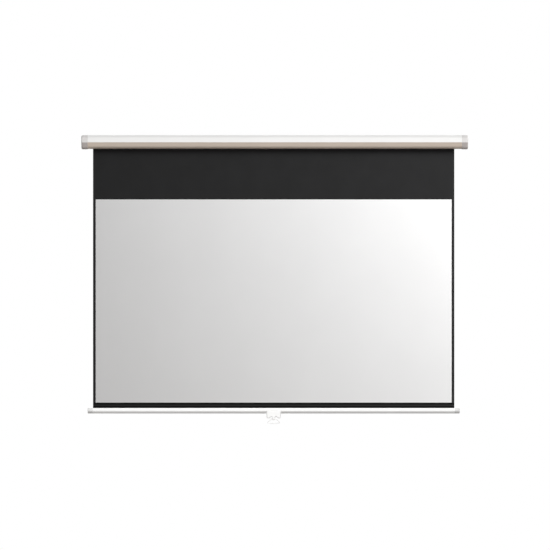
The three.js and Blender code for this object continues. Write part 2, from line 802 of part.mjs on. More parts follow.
function makeHandle() {
  const half = [
    [gripEnd, saddleRise, saddleRadius],
    [gripEnd - lobeSlant / 2, gripBase - lobeDrop, lobeRadius],
    [gripEnd - lobeWidth, gripBase - lobeDrop, lobeRadius],
    [tongueWidth / 2 + lobeSlant, gripBase - notchDrop, lobeRadius / 2],
    [tongueWidth / 2, gripBase - notchDrop - lobeSlant, lobeSlant / 2],
    [tongueWidth / 2, tongueBottom, tongueRadius],
  ];
  const mirrored = half.map(([x, z, r]) => [-x, z, r]).reverse();
  const grip = alongY(rounded([...half, ...mirrored]), -gripDepth, gripDepth);
  const pastEnd = gripEnd + overrun;
  const seat = alongX(rounded(inset(barCorners, -fit)), -pastEnd, pastEnd);
  const eye = alongX(disc(0, eyeZ, ringWire / 2 + fit), -gripEnd, gripEnd);
  const holes = handleScrews.map((x) => join(
    alongY(disc(x, -barBellyDrop, handleScrewShank / 2 + fit), 0, barBellyWidth),
    alongY(disc(x, -barBellyDrop, handleScrewHead / 2 + fit), handleScrewSeat, barBellyWidth)));
  return cut(grip, seat, eye, ...holes);
}

piece(bar, 'handle_grip', makeHandle(), 'handle');

handleScrews.forEach((x, i) => {
  const screw = piece(bar, `handle_screw_${i + 1}`, makeScrew(
    handleScrewBite, handleScrewShank, handleScrewHead, handleScrewHeadHeight), 'steel');
  screw.position.set(x, handleScrewSeat + fit, -barBellyDrop);
  screw.rotation.z = Math.PI / 2;
});

// Pull ring: a closed loop whose straight top turns in the tongue's eye
function makeRing() {
  const outline = rounded([
    [-ringTop / 2, 0, ringWire],
    [-ringBase / 2, -ringHeight, ringRadius],
    [ringBase / 2, -ringHeight, ringRadius],
    [ringTop / 2, 0, ringWire],
  ], arcFacets - 1);
  const points = outline.getPoints();
  const rows = points.map((point, i) => {
    const before = points[(i + points.length - 1) % points.length];
    const after = points[(i + 1) % points.length];
    const incoming = point.clone().sub(before).normalize();
    const leaving = after.clone().sub(point).normalize();
    const along = incoming.add(leaving).normalize();
    return Array.from({ length: wireFacets }, (_, k) => {
      const angle = 2 * Math.PI * k / wireFacets;
      const [out, deep] = [ringWire / 2 * Math.cos(angle), ringWire / 2 * Math.sin(angle)];
      return new THREE.Vector3(point.x - along.y * out, deep, point.y + along.x * out);
    });
  });
  const triangles = rows.flatMap((row, i) => {
    const next = rows[(i + 1) % rows.length];
    return row.flatMap((_, k) => {
      const n = (k + 1) % wireFacets;
      return [[row[k], row[n], next[n]], [row[k], next[n], next[k]]];
    });
  });
  return solidOf(new THREE.BufferGeometry().setFromPoints(triangles.flat()));
}

const ringPiece = piece(bar, 'pull_ring', makeRing(), 'handle');
ringPiece.position.z = eyeZ;

// The bar rises until it nearly meets the caps, and winds the cloth on as it goes
const barTravel = capBottom - stopGap - barTop;
const turnPerMetre = 1000 / (rollRadius - clothThickness / 2);
console.log(`the bar rises ${barTravel.toFixed(1)} mm`);
console.log(`the roller turns ${turnPerMetre.toFixed(2)} rad a metre`);

export default screen;
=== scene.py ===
# %% [markdown]
# A pull-down projector screen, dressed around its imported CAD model.
# The CAD model holds the true sizes and the joints, so it is loaded first and never moved.
# Every visible piece is then modelled again with finer edges and a finish of its own,
# in metres, in the same place. X runs along the case, Y points to the wall, Z is up.

# %% Load the frame
import math

import bmesh
import bpy
from mathutils import Matrix, Vector


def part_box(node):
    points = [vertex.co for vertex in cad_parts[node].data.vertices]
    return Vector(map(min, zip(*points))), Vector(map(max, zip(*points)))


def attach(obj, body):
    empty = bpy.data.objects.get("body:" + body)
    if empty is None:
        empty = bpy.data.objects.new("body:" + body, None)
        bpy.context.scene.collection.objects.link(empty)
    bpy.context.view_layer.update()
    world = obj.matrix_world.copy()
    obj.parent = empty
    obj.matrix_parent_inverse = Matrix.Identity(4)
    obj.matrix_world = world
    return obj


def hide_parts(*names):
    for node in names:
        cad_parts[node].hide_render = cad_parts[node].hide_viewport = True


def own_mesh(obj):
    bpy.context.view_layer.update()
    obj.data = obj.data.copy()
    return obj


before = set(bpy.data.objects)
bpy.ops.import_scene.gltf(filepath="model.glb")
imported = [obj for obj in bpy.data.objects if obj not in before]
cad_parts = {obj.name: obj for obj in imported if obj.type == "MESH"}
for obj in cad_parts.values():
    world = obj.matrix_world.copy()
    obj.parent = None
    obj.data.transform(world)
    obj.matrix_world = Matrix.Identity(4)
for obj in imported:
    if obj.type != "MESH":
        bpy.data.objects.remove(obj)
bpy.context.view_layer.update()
scene = bpy.context.scene

# %% [markdown]
# The photograph is taken straight on with hardly any perspective, so the camera stands far
# away with a long lens. A nearer camera with a short lens would show the case's underside.
# The lens follows from how wide a strip of wall the picture takes in.

# %% Camera
PICTURE_MIDDLE = Vector((0.0014, 0.0, -0.7412))
PICTURE_SPAN = 3.069
CAMERA_DISTANCE = 30.0

camera_data = bpy.data.cameras.new("camera")
camera_data.lens = camera_data.sensor_width * CAMERA_DISTANCE / PICTURE_SPAN
camera_data.clip_end = 3 * CAMERA_DISTANCE
camera = bpy.data.objects.new("camera", camera_data)
camera.location = PICTURE_MIDDLE - Vector((0, CAMERA_DISTANCE, 0))
camera.rotation_euler = (math.pi / 2, 0, 0)
scene.collection.objects.link(camera)
scene.camera = camera
print("lens in mm", round(camera_data.lens, 1))

# %% [markdown]
# A world that is white to the camera, to mirrors and to glass gives the plain white ground.
# To everything else it is a dim grey, so it only lifts the shadows. A bright world would
# flatten every edge of a white object.

# %% World
WORLD_FILL = 0.11

world = bpy.data.worlds.new("studio")
world.use_nodes = True
scene.world = world
sky = world.node_tree
sky.nodes.clear()


def seen_directly(tree):
    """1 for rays from the camera, a mirror or glass, and 0 for the light that falls on things"""
    path = tree.nodes.new("ShaderNodeLightPath")
    total = path.outputs["Is Camera Ray"]
    for kind in ("Is Glossy Ray", "Is Transmission Ray"):
        larger = tree.nodes.new("ShaderNodeMath")
        larger.operation = "MAXIMUM"
        tree.links.new(total, larger.inputs[0])
        tree.links.new(path.outputs[kind], larger.inputs[1])
        total = larger.outputs[0]
    return total


fill = sky.nodes.new("ShaderNodeBackground")
fill.inputs["Strength"].default_value = WORLD_FILL
white = sky.nodes.new("ShaderNodeBackground")
white.inputs["Color"].default_value = (1, 1, 1, 1)
either = sky.nodes.new("ShaderNodeMixShader")
world_output = sky.nodes.new("ShaderNodeOutputWorld")
sky.links.new(seen_directly(sky), either.inputs["Fac"])
sky.links.new(fill.outputs["Background"], either.inputs[1])
sky.links.new(white.outputs["Background"], either.inputs[2])
sky.links.new(either.outputs["Shader"], world_output.inputs["Surface"])
print("world", len(sky.nodes), "nodes, fill", WORLD_FILL)

# %% [markdown]
# Soft square lamps stand in for a studio's softboxes. In the photograph the case is evenly
# lit from the front, and only its left end has a dark edge, so its lamp stands far away and a
# little to the right. The cloth falls off from right to left, with the case's soft shadow at
# its top. The bar is grey below its middle, so its light comes from well above, and the
# handle's face is white with a grey outline, so its light comes from the front. Blender can
# link a lamp to the surfaces that it lights, so each of the four gets a lamp. Painting the
# falloff into the cloth's colour would leave a stain on it in every other light. Two more
# lamps, behind and beside the screen, show its back and its right end. The one behind has no
# mirror image, or the case's top would melt into the white ground when seen from the front.

# %% Lamps
case_group = bpy.data.collections.new("lit_as_case")
cloth_group = bpy.data.collections.new("lit_as_cloth")
bar_group = bpy.data.collections.new("lit_as_bar")
handle_group = bpy.data.collections.new("lit_as_handle")


def softbox(name, place, aim, size, share, receivers=None):
    """A square lamp that lights a white surface at aim to the given share of white"""
    lamp = bpy.data.lights.new(name, "AREA")
    lamp.shape = "SQUARE"
    lamp.size = size
    reach = Vector(aim) - Vector(place)
    lamp.energy = share * (math.pi * reach.length) ** 2
    holder = bpy.data.objects.new(name, lamp)
    turned = reach.to_track_quat("-Z", "Y").to_matrix().to_4x4()
    holder.matrix_world = Matrix.Translation(place) @ turned
    scene.collection.objects.link(holder)
    if receivers:
        holder.light_linking.receiver_collection = receivers
    print(name, round(lamp.energy), "W at", round(reach.length, 2), "m")
    return holder


softbox("case_lamp", (5.6, -15.5, 6.2), (0, 0, 0), 5.2, 1.02, case_group)
softbox("cloth_lamp", (3.74, -2.84, 2.77), (0.99, 0, -3.62), 2.0, 1.01, cloth_group)
softbox("bar_lamp", (0.4, -7.8, 5.8), (0.1, 0, -1.5), 3.0, 0.97, bar_group)
softbox("handle_lamp", (1.2, -10.0, 1.5), (0, 0, -1.5), 3.0, 0.9, handle_group)
back_lamp = softbox("back_lamp", (-2.5, 4.5, 2.5), (0, 0, -0.6), 3.0, 0.7)
back_lamp.visible_glossy = False
softbox("side_lamp", (4.5, 0.9, 0.8), (1.05, 0, -0.5), 2.0, 0.45)

# %% [markdown]
# A screen hangs high on a wall, so its floor is well below it. The floor is plain and pale.
# It is mostly white to the camera, so that its edge melts into the white ground, with a share
# of true shading left so that a shadow shows.

# %% Floor
FLOOR_DROP = -2.6
FLOOR_CORNERS = ((-12, -12), (12, -12), (12, 6.2), (-12, 6.2))
FLOOR_WHITE = 1.1
WHITE_SHARE = 0.9

floor_material = bpy.data.materials.new("pale_floor")
floor_material.use_nodes = True
ground = floor_material.node_tree
ground.nodes.clear()
matt = ground.nodes.new("ShaderNodeBsdfDiffuse")
matt.inputs["Color"].default_value = (0.62, 0.58, 0.54, 1)
plain = ground.nodes.new("ShaderNodeEmission")
plain.inputs["Strength"].default_value = FLOOR_WHITE
share = ground.nodes.new("ShaderNodeMath")
share.operation = "MULTIPLY"
share.inputs[1].default_value = WHITE_SHARE
both = ground.nodes.new("ShaderNodeMixShader")
floor_output = ground.nodes.new("ShaderNodeOutputMaterial")
ground.links.new(seen_directly(ground), share.inputs[0])
ground.links.new(share.outputs[0], both.inputs["Fac"])
ground.links.new(matt.outputs["BSDF"], both.inputs[1])
ground.links.new(plain.outputs["Emission"], both.inputs[2])
ground.links.new(both.outputs["Shader"], floor_output.inputs["Surface"])

floor_mesh = bpy.data.meshes.new("floor")
bm = bmesh.new()
bm.faces.new([bm.verts.new((x, y, FLOOR_DROP)) for x, y in FLOOR_CORNERS])
bm.to_mesh(floor_mesh)
bm.free()
floor_mesh.materials.append(floor_material)
floor = bpy.data.objects.new("floor", floor_mesh)
scene.collection.objects.link(floor)
print("floor", [round(v, 1) for v in floor.dimensions], "m at", FLOOR_DROP, "m")

# %% [markdown]
# Each finish below is a small node network on Object coordinates, which are plain metres
# here. These helpers make its patterns: a noise of a given grain, a coordinate as a value, a
# range of values carried to another range, and patches, a noise that fills its range. Most of
# Blender's noise lies between 0.3 and 0.7, so that part of it is drawn out.

# %% Patterns
NOISE_LOW = 0.3
NOISE_HIGH = 0.7


def start_material(name, roughness=0.5, metallic=0.0):
    """A new material with its node tree and its main shader"""
    material = bpy.data.materials.new(name)
    material.use_nodes = True
    shader = material.node_tree.nodes["Principled BSDF"]
    shader.inputs["Roughness"].default_value = roughness
    shader.inputs["Metallic"].default_value = metallic
    print("finish", name)
    return material, material.node_tree, shader


def grain(tree, size, detail=2.0, stretch=(1, 1, 1)):
    """Noise with grains about size metres across, drawn out along the axes by stretch"""
    place = tree.nodes.new("ShaderNodeTexCoord")
    mapping = tree.nodes.new("ShaderNodeMapping")
    mapping.inputs["Scale"].default_value = [1 / (size * s) for s in stretch]
    noise = tree.nodes.new("ShaderNodeTexNoise")
    noise.inputs["Scale"].default_value = 1
    noise.inputs["Detail"].default_value = detail
    tree.links.new(place.outputs["Object"], mapping.inputs["Vector"])
    tree.links.new(mapping.outputs["Vector"], noise.inputs["Vector"])
    return noise.outputs["Fac"]


def height_of(tree, axis="Z"):
    """The Object coordinate along one axis"""
    place = tree.nodes.new("ShaderNodeTexCoord")
    parts = tree.nodes.new("ShaderNodeSeparateXYZ")
    tree.links.new(place.outputs["Object"], parts.inputs[0])
    return parts.outputs[axis]


def spread(tree, value, start, end, low, high):
    """Carries value from the range start..end to low..high, and holds it there outside"""
    node = tree.nodes.new("ShaderNodeMapRange")
    limits = {"From Min": start, "From Max": end, "To Min": low, "To Max": high}
    for name, number in limits.items():
        node.inputs[name].default_value = number
    tree.links.new(value, node.inputs["Value"])
    return node.outputs["Result"]


def patches(tree, size, low=0.0, high=1.0, detail=3, stretch=(1, 1, 1)):
    """Patches about size metres across, with values from low to high"""
    return spread(tree, grain(tree, size, detail, stretch), NOISE_LOW, NOISE_HIGH, low, high)


# %% [markdown]
# A pattern then becomes a colour, a polish, or a relief that tilts the light without adding
# geometry.

# %% Colour, polish and relief


def between(tree, amount, first, second):
    """A colour from first to second, each a colour or a socket, as amount goes from 0 to 1"""
    node = tree.nodes.new("ShaderNodeMix")
    node.data_type = "RGBA"
    for socket, colour in ((node.inputs[6], first), (node.inputs[7], second)):
        if isinstance(colour, bpy.types.NodeSocket):
            tree.links.new(colour, socket)
        else:
            socket.default_value = (*colour, 1)
    tree.links.new(amount, node.inputs["Factor"])
    return node.outputs[2]


def joined(tree, first, second, operation="ADD"):
    """Two values put together by a math operation"""
    node = tree.nodes.new("ShaderNodeMath")
    node.operation = operation
    for socket, value in zip(node.inputs, (first, second)):
        if isinstance(value, bpy.types.NodeSocket):
            tree.links.new(value, socket)
        else:
            socket.default_value = value
    return node.outputs[0]


def relief(tree, shader, height, depth):
    """Tilts the surface as if height were a relief that is depth metres deep"""
    bump = tree.nodes.new("ShaderNodeBump")
    bump.inputs["Distance"].default_value = depth
    tree.links.new(height, bump.inputs["Height"])
    tree.links.new(bump.outputs["Normal"], shader.inputs["Normal"])


def tinted(tree, shader, amount, first, second):
    """Colours the surface from first to second as amount goes from 0 to 1"""
    tree.links.new(between(tree, amount, first, second), shader.inputs["Base Color"])


def polished(tree, shader, roughness):
    """Gives the surface a roughness that varies with a value"""
    tree.links.new(roughness, shader.inputs["Roughness"])


# %% [markdown]
# The case is aluminium with a satin powder coat, nearly white. On the faces that look down
# below the crease its colour is a painted shade, darker and with a painted warm cast from
# below. Those faces are marked in an attribute that the paint reads.
# Powder flows as it melts, which leaves a faint orange peel about a millimetre across. Broad
# noise keeps two metres of paint from looking like one flat fill.

# %% Case paint
UNDER = "faces_down"


def painted_shade_mask(tree):
    """1 on the faces that get painted shade, those marked as facing down, and 0 elsewhere"""
    mark = tree.nodes.new("ShaderNodeAttribute")
    mark.attribute_name = UNDER
    return mark.outputs["Fac"]


case_paint, tree, shader = start_material("case_paint")
tone = patches(tree, 0.22)
upper = between(tree, tone, (0.795, 0.792, 0.782), (0.815, 0.812, 0.802))
# painted shade: a darker, warmer tone for the faces that look down
lower = between(tree, tone, (0.70, 0.598, 0.507), (0.73, 0.628, 0.537))
tinted(tree, shader, painted_shade_mask(tree), upper, lower)
polished(tree, shader, patches(tree, 0.05, 0.46, 0.56))
relief(tree, shader, grain(tree, 0.0011, 2), 0.00004)

# %% [markdown]
# The end caps are moulded plastic, a little greyer than the paint, with the same painted shade
# on their faces that look down.
# The mould was etched, so the skin has a fine matt grain of about half a millimetre.

# %% Cap plastic
cap_plastic, tree, shader = start_material("cap_plastic")
tone = patches(tree, 0.04, detail=4)
upper = between(tree, tone, (0.63, 0.615, 0.605), (0.67, 0.655, 0.645))
# painted shade: a darker, warmer tone for the faces that look down
lower = between(tree, tone, (0.50, 0.458, 0.44), (0.54, 0.498, 0.48))
tinted(tree, shader, painted_shade_mask(tree), upper, lower)
polished(tree, shader, patches(tree, 0.01, 0.52, 0.57))
relief(tree, shader, grain(tree, 0.0005, 3), 0.00005)

# %% [markdown]
# The viewing surface is a matt white coating on woven glass. Two wave textures at right
# angles give the weave, and broad noise the slight unevenness of the coating. The weave is
# finer than a pixel of the main view, and shows when the camera comes close.

# %% Viewing cloth
WEAVE_PITCH = 0.0008


def weave(tree, pitch):
    """The threads of a plain weave that lies in the XZ plane, as one height"""
    threads = []
    for axis in "XZ":
        place = height_of(tree, axis)
        turned = joined(tree, place, 2 * math.pi / pitch, "MULTIPLY")
        threads.append(joined(tree, turned, 0.0, "SINE"))
    return joined(tree, *threads, "MULTIPLY")


viewing_cloth, tree, shader = start_material("viewing_cloth", roughness=0.85)
shader.inputs["Specular IOR Level"].default_value = 0.2
tinted(tree, shader, patches(tree, 0.3), (0.872, 0.872, 0.874), (0.888, 0.888, 0.89))
height = joined(tree, weave(tree, WEAVE_PITCH), grain(tree, 0.0025, 3))
relief(tree, shader, height, 0.00003)

# %% [markdown]
# The drop above the picture, the side borders, the hem and the back are the same cloth with a
# black coating. It is dull, and slightly worn where it is rolled and unrolled. A good part of
# what it sends back is the faint shine of the coating, which shows the bright room round it.

# %% Black cloth


def black_coating(name, dark, light, shine):
    """A dull black cloth with its weave, from one tone to another"""
    material, tree, shader = start_material(name, roughness=0.9)
    shader.inputs["Specular IOR Level"].default_value = shine
    tinted(tree, shader, patches(tree, 0.12, detail=4), dark, light)
    height = joined(tree, weave(tree, WEAVE_PITCH), grain(tree, 0.002, 3))
    relief(tree, shader, height, 0.00004)
    return material, tree, shader


black_cloth = black_coating(
    "black_cloth", (0.004, 0.004, 0.0043), (0.007, 0.007, 0.0075), 0.37)[0]

# %% [markdown]
# The hem is folded black cloth, welded in a band along its middle. Its colour has a painted
# highlight along the weld and a painted shadow on the cloth just above the bar.

# %% Hem cloth
HEM_TOP = -1.453
HEM_HEIGHT = 0.030

hem_cloth, tree, shader = black_coating(
    "hem_cloth", (0.010, 0.010, 0.0105), (0.014, 0.014, 0.0145), 0.1)
level = spread(tree, height_of(tree), HEM_TOP, HEM_TOP - HEM_HEIGHT, 0, 1)
# painted highlight along the weld and painted shadow just above the bar
painted_highlight_and_shadow = tree.nodes.new("ShaderNodeValToRGB")
ramp = painted_highlight_and_shadow.color_ramp
ramp.elements[0].position = 0.30
ramp.elements[0].color = (0.008, 0.008, 0.0085, 1)
ramp.elements[1].position = 1.0
ramp.elements[1].color = (0.003, 0.003, 0.003, 1)
for place, value in ((0.45, 0.024), (0.60, 0.024), (0.70, 0.003)):
    stop = ramp.elements.new(place)
    stop.color = (value, value, value, 1)
tree.links.new(level, painted_highlight_and_shadow.inputs["Fac"])
tree.links.new(painted_highlight_and_shadow.outputs["Color"], shader.inputs["Base Color"])

# %% [markdown]
# The bar has the same powder coat as the case, in a cleaner white. Its plugs are light grey
# mouldings, and the handle is a glossier white one.

# %% Bar, plug and handle finishes
bar_paint, tree, shader = start_material("bar_paint")
tinted(tree, shader, patches(tree, 0.18), (0.885, 0.885, 0.88), (0.905, 0.905, 0.9))
polished(tree, shader, patches(tree, 0.04, 0.34, 0.44))
relief(tree, shader, grain(tree, 0.0011, 2), 0.00004)

plug_plastic, tree, shader = start_material("plug_plastic")
tinted(tree, shader, patches(tree, 0.02), (0.70, 0.70, 0.695), (0.74, 0.74, 0.735))
polished(tree, shader, patches(tree, 0.008, 0.42, 0.55))
relief(tree, shader, grain(tree, 0.0006, 3), 0.00004)

handle_plastic, tree, shader = start_material("handle_plastic")
shader.inputs["Coat Weight"].default_value = 0.25
shader.inputs["Coat Roughness"].default_value = 0.2
tinted(tree, shader, patches(tree, 0.015), (0.89, 0.89, 0.885), (0.915, 0.915, 0.91))
polished(tree, shader, patches(tree, 0.006, 0.3, 0.4))
relief(tree, shader, grain(tree, 0.0008, 2), 0.00002)

# %% [markdown]
# The metal inside keeps its CAD mesh, so only its finish is made here. Zinc plate has a
# bright, patchy spangle, turned steel fine rings round the X axis, and drawn aluminium long
# lines along it.

# %% Metals and nylon


def metal(name, dark, light, size, stretch, low, high, depth):
    """A metal whose tone, polish and relief follow one drawn-out grain"""
    material, tree, shader = start_material(name, metallic=1.0)
    lines = patches(tree, size, detail=4, stretch=stretch)
    tinted(tree, shader, lines, dark, light)
    polished(tree, shader, spread(tree, lines, 0, 1, low, high))
    relief(tree, shader, lines, depth)
    return material


EVEN = (1, 1, 1)
ROUND_X = (1, 40, 40)
ALONG_X = (200, 1, 1)

zinc_plate = metal(
    "zinc_plate", (0.58, 0.59, 0.6), (0.74, 0.75, 0.76), 0.006, EVEN, 0.3, 0.45, 0.00002)
screw_steel = metal(
    "screw_steel", (0.54, 0.55, 0.56), (0.66, 0.67, 0.68), 0.001, EVEN, 0.25, 0.4, 0.00001)
turned_steel = metal(
    "turned_steel", (0.46, 0.47, 0.49), (0.58, 0.59, 0.61), 0.0006, ROUND_X, 0.25, 0.4, 0.00001)
tube_aluminium = metal(
    "tube_aluminium", (0.64, 0.65, 0.66), (0.76, 0.77, 0.78), 0.0008, ALONG_X, 0.35, 0.5, 0.00001)

nylon, tree, shader = start_material("nylon", roughness=0.5)
tinted(tree, shader, patches(tree, 0.01), (0.78, 0.76, 0.71), (0.84, 0.82, 0.77))
shader.inputs["Subsurface Weight"].default_value = 0.1
relief(tree, shader, grain(tree, 0.0008, 3), 0.00003)

# %% [markdown]
# Most pieces here are one section carried along X: the case, the bar, their ends. A section
# is a list of corners, each with its depth, its height and the radius that rounds it. The
# corners are drawn out to a strip, and then bmesh bevels the long edges, which is how a
# modeller would round them by hand.

# %% Sections along X
MM = 0.001
CORNER_SEGMENTS = 12
CLOSE = 1e-6


def in_metres(corners):
    """A section written in millimetres, in metres"""
    return [tuple(value * MM for value in corner) for corner in corners]


def edges_along_x(bm, y, z):
    """The edges that lie on one corner of a section"""
    return [e for e in bm.edges if all(math.dist(v.co.yz, (y, z)) < CLOSE for v in e.verts)]


def round_corners(bm, corners, closed, segments=CORNER_SEGMENTS):
    """Bevels each corner's long edge so that it has that corner's radius"""
    count = len(corners)
    for i, (y, z, radius) in enumerate(corners):
        if not radius or not closed and i in (0, count - 1):
            continue
        here = Vector((y, z))
        before = Vector(corners[i - 1][:2]) - here
        after = Vector(corners[(i + 1) % count][:2]) - here
        bmesh.ops.bevel(
            bm, geom=edges_along_x(bm, y, z), offset=radius / math.tan(before.angle(after) / 2),
            offset_type="OFFSET", segments=segments, profile=0.5, affect="EDGES", material=-1)


def strip(corners, x0, x1, segments=CORNER_SEGMENTS):
    """An open sheet that follows the corners and runs from x0 to x1"""
    bm = bmesh.new()
    verts = [bm.verts.new((x0, y, z)) for y, z, _ in corners]
    edges = [bm.edges.new(pair) for pair in zip(verts, verts[1:])]
    made = bmesh.ops.extrude_edge_only(bm, edges=edges)["geom"]
    moved = [v for v in made if isinstance(v, bmesh.types.BMVert)]
    bmesh.ops.translate(bm, verts=moved, vec=(x1 - x0, 0, 0))
    round_corners(bm, corners, False, segments)
    return bm


def give_wall(bm, thickness):
    """Turns a sheet into a wall that lies on the inner side of it"""
    bmesh.ops.recalc_face_normals(bm, faces=bm.faces)
    bm.normal_update()
    bmesh.ops.solidify(bm, geom=bm.faces[:], thickness=thickness)
    bmesh.ops.recalc_face_normals(bm, faces=bm.faces)


# %% [markdown]
# A finished bmesh becomes an object at the origin. It is shaded smoothly between its sharp
# edges, rides on its body, and stands for the CAD nodes that it replaces.

# %% Finished pieces
SHARP_ANGLE = 32


def to_object(name, bm, material=None):
    """Puts a bmesh into the scene as an object at the origin"""
    mesh = bpy.data.meshes.new(name)
    bm.to_mesh(mesh)
    bm.free()
    if material:
        mesh.materials.append(material)
    made = bpy.data.objects.new(name, mesh)
    scene.collection.objects.link(made)
    return made


def shown(obj, body, nodes, group):
    """Shades a finished piece, lets it ride on its body and stand for its CAD nodes"""
    for face in obj.data.polygons:
        face.use_smooth = True
    obj.data.set_sharp_from_angle(angle=math.radians(SHARP_ANGLE))
    even = obj.modifiers.new("even_shading", "WEIGHTED_NORMAL")
    even.keep_sharp = True
    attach(obj, body)
    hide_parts(*nodes)
    group.objects.link(obj)
    size = [round(v / MM, 1) for v in obj.dimensions]
    print(obj.name, "measures", size, "mm in", len(obj.data.polygons), "faces")


def mark_painted_shade(obj, slope=0.3):
    """Marks the faces that look down more steeply than slope, where the paint puts painted shade
    """
    mark = obj.data.attributes.new(UNDER, "FLOAT", "FACE")
    for face, value in zip(obj.data.polygons, mark.data):
        value.value = 1.0 if face.normal.z < -slope else 0.0
    count = sum(value.value for value in mark.data)
    print(obj.name, "has", round(count), "faces that look down")


# %% [markdown]
# The case is one extrusion, a C that is open underneath where the cloth comes out. Its strip
# starts at the lip in front of the slot, goes round the front, the top and the back, and
# ends at the lip behind it. Solidify then gives the strip its wall, inwards.

# %% Case
CASE_WALL = 1.6 * MM
CASE_END = 1042.5 * MM
CLOTH_DEPTH = -15.4
SLOT_HALF = 6
LIP_TOP = -33.4

case_corners = in_metres([
    (CLOTH_DEPTH - SLOT_HALF, LIP_TOP, 0),
    (CLOTH_DEPTH - SLOT_HALF, -38, 0.5),
    (-46, -38, 38),
    (-68.8, -3.7, 0.5),
    (-70, -2.5, 1.2),
    (-66.5, 24, 9),
    (-50, 38, 9),
    (0, 38, 1.5),
    (0, -38, 1.5),
    (CLOTH_DEPTH + SLOT_HALF, -38, 0.5),
    (CLOTH_DEPTH + SLOT_HALF, LIP_TOP, 0),
])
bm = strip(case_corners, -CASE_END, CASE_END)
give_wall(bm, CASE_WALL)
case = to_object("case_extrusion", bm, case_paint)
mark_painted_shade(case)
shown(case, "case", ["housing"], case_group)

# %% [markdown]
# The caps and the bar's plugs are blocks whose outer ends are rounded over. A bevel on so
# short a block runs into the rounding of its long edges. So the end is made as a pattern maker
# would cut it, from slices that get smaller towards the end. Their convex hull is the skin,
# and where its faces lie within half a degree of each other they are joined.

# %% Blocks with a round end
FLAT_ENOUGH = math.radians(0.5)


def block(corners, x0, x1, segments=CORNER_SEGMENTS):
    """A solid with the corners as its section, from x0 to x1"""
    bm = bmesh.new()
    face = bm.faces.new([bm.verts.new((x0, y, z)) for y, z, _ in corners])
    made = bmesh.ops.extrude_face_region(bm, geom=[face])["geom"]
    moved = [v for v in made if isinstance(v, bmesh.types.BMVert)]
    bmesh.ops.translate(bm, verts=moved, vec=(x1 - x0, 0, 0))
    round_corners(bm, corners, True, segments)
    bmesh.ops.recalc_face_normals(bm, faces=bm.faces)
    return bm


def inset(corners, wall):
    """A section's corners with every side moved inwards by a wall"""
    inner = []
    for i, (y, z, radius) in enumerate(corners):
        here = Vector((y, z))
        back = (Vector(corners[i - 1][:2]) - here).normalized()
        onward = (Vector(corners[(i + 1) % len(corners)][:2]) - here).normalized()
        moved = here + (back + onward).normalized() * wall / math.sin(back.angle(onward) / 2)
        inner.append((moved.x, moved.y, max(radius - wall, 0)))
    return inner


def round_ended(corners, start, end, rounding, steps=8):
    """A block along X whose far end is rounded over, as the hull of its sections"""
    way = math.copysign(1, end - start)
    stations = [(start, 0)]
    for step in range(steps + 1):
        turn = math.pi / 2 * step / steps
        short, depth = rounding * (1 - math.sin(turn)), rounding * (1 - math.cos(turn))
        stations.append((end - way * short, depth))
    bm = bmesh.new()
    for x, depth in stations:
        section = block(inset(corners, depth), x, x - way)
        for vert in section.verts:
            if abs(vert.co.x - x) < CLOSE:
                bm.verts.new(vert.co)
        section.free()
    bmesh.ops.convex_hull(bm, input=bm.verts)
    bmesh.ops.dissolve_limit(bm, angle_limit=FLAT_ENOUGH, verts=bm.verts, edges=bm.edges)
    bmesh.ops.recalc_face_normals(bm, faces=bm.faces)
    return bm


# %% [markdown]
# A moulding's wells and pockets are cut with round tools, so a drum and a boolean step are
# enough for them.

# %% Carving


def drum(name, start, end, radius, sides=48):
    """A plain round solid between two points"""
    axis = Vector(end) - Vector(start)
    place = Matrix.Translation((Vector(start) + Vector(end)) / 2)
    bm = bmesh.new()
    bmesh.ops.create_cone(
        bm, cap_ends=True, segments=sides, radius1=radius, radius2=radius, depth=axis.length,
        matrix=place @ axis.to_track_quat("Z", "Y").to_matrix().to_4x4())
    return to_object(name, bm)


def bake(obj):
    """The object's mesh with its modifiers, or a curve's skin, as a new mesh"""
    bpy.context.view_layer.update()
    whole = obj.evaluated_get(bpy.context.evaluated_depsgraph_get())
    return bpy.data.meshes.new_from_object(whole)


def carve(obj, cutters):
    """Cuts the cutters out of the object and removes them"""
    for cutter in cutters:
        step = obj.modifiers.new(cutter.name, "BOOLEAN")
        step.operation = "DIFFERENCE"
        step.solver = "EXACT"
        step.object = cutter
    mesh = bake(obj)
    obj.modifiers.clear()
    obj.data = mesh
    for cutter in cutters:
        bpy.data.objects.remove(cutter)


# %% [markdown]
# Each end cap is a hollow moulding that closes the case and hides its bracket. These are its
# sizes: first its walls and roundings, then the three screw wells, the hanging hole, and the
# window for the bracket's flange.

# %% Cap sizes
CAP_WALL = 2.4 * MM
CAP_START = 1042.8 * MM
CAP_END = 1077 * MM
CAP_ROUND = 6.8 * MM
POCKET_ROUND = 3.8 * MM
WELL_RADIUS = 4.0 * MM
WELL_WALL = 1.6 * MM
WELL_START = 1045.1 * MM
WELL_FLOOR = 1048.1 * MM
OVERRUN = 5 * MM
WELLS = [(-8.2, 29.8), (-48.6, 29.8), (-37, -29.8)]
HANG_PLACE = (1057.8 * MM, -28.4 * MM)
HANG_FROM = 30 * MM
HANG_TO = 42 * MM
HANG_RADIUS = 3.5 * MM
WINDOW_HALF = 22.3 * MM
WINDOW_START = CAP_START - OVERRUN
WINDOW_END = 1071.1 * MM
WINDOW_DEPTH = 2.7 * MM

cap_corners = in_metres([
    (0, -40, 1.5), (0, 38, 1.5), (-50, 38, 9), (-66.5, 24, 9), (-70, -2.5, 8), (-46, -40, 30)])
print("a cap is", round((CAP_END - CAP_START) / MM, 1), "mm long")

# %% [markdown]
# A cap is carved as a mould maker would: a block with its outer end rounded over, less a
# smaller block for the pocket. Posts are spared from the pocket, and drums bored through them
# make the screw wells. The hanging hole and the window are cut last.

# %% End caps


